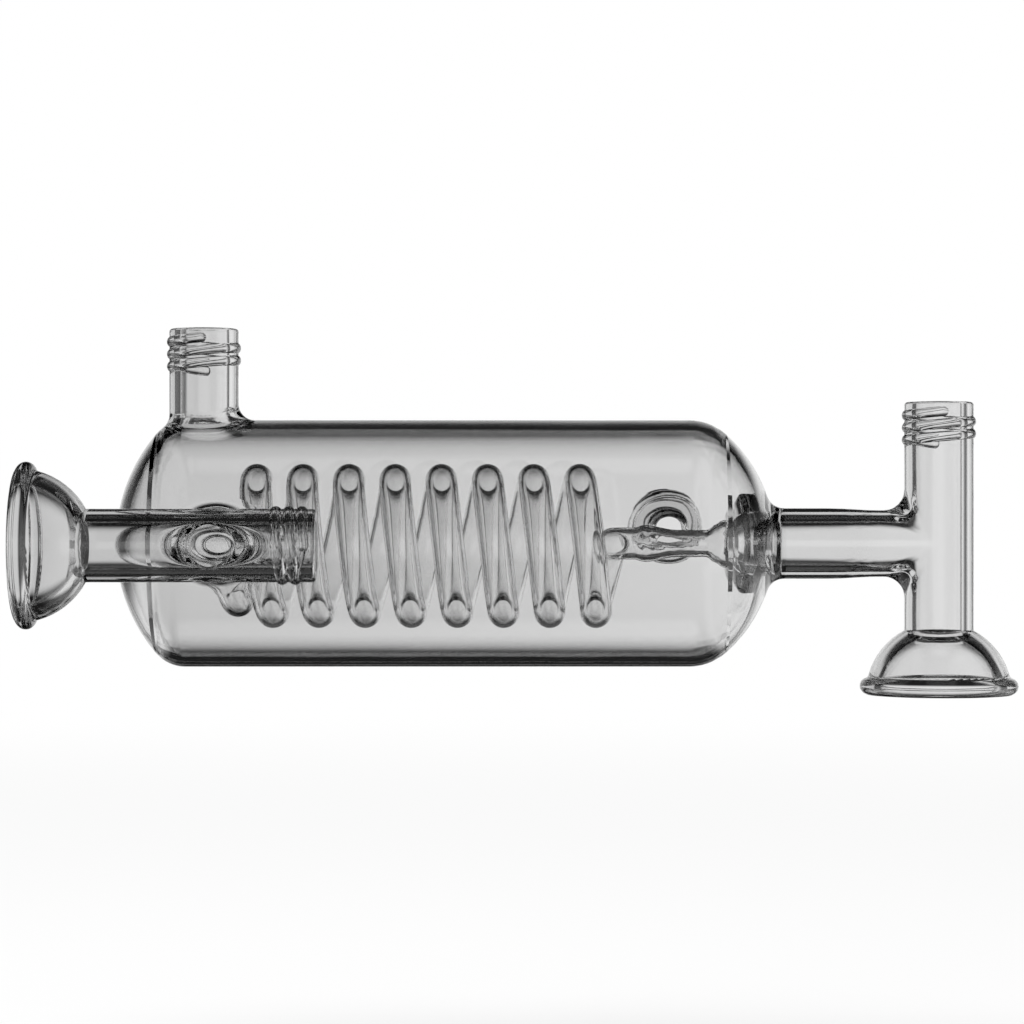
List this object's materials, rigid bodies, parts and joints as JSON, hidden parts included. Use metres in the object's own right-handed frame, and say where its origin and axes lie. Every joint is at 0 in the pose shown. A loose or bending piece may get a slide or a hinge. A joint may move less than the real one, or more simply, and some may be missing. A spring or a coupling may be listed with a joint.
{
  "type": "glass condenser",
  "caption": "Coil condenser of clear laboratory glass: domed water jacket around a glass coil, T-pieces with ball-joint cups, screw-thread mouths and water ports.",
  "frame": {"origin": "on the jacket's axis, halfway along its straight wall, where a stand's clamp holds it", "axes": "+X along the jacket towards the upright T-piece, +Z towards the upper water port, -Y towards the front T-piece"},
  "size_m": [0.236, 0.1219, 0.0889],
  "materials": {
    "glass": "clear"
  },
  "bodies": {
    "root": {"condenser": "glass"}
  },
  "joints": []
}
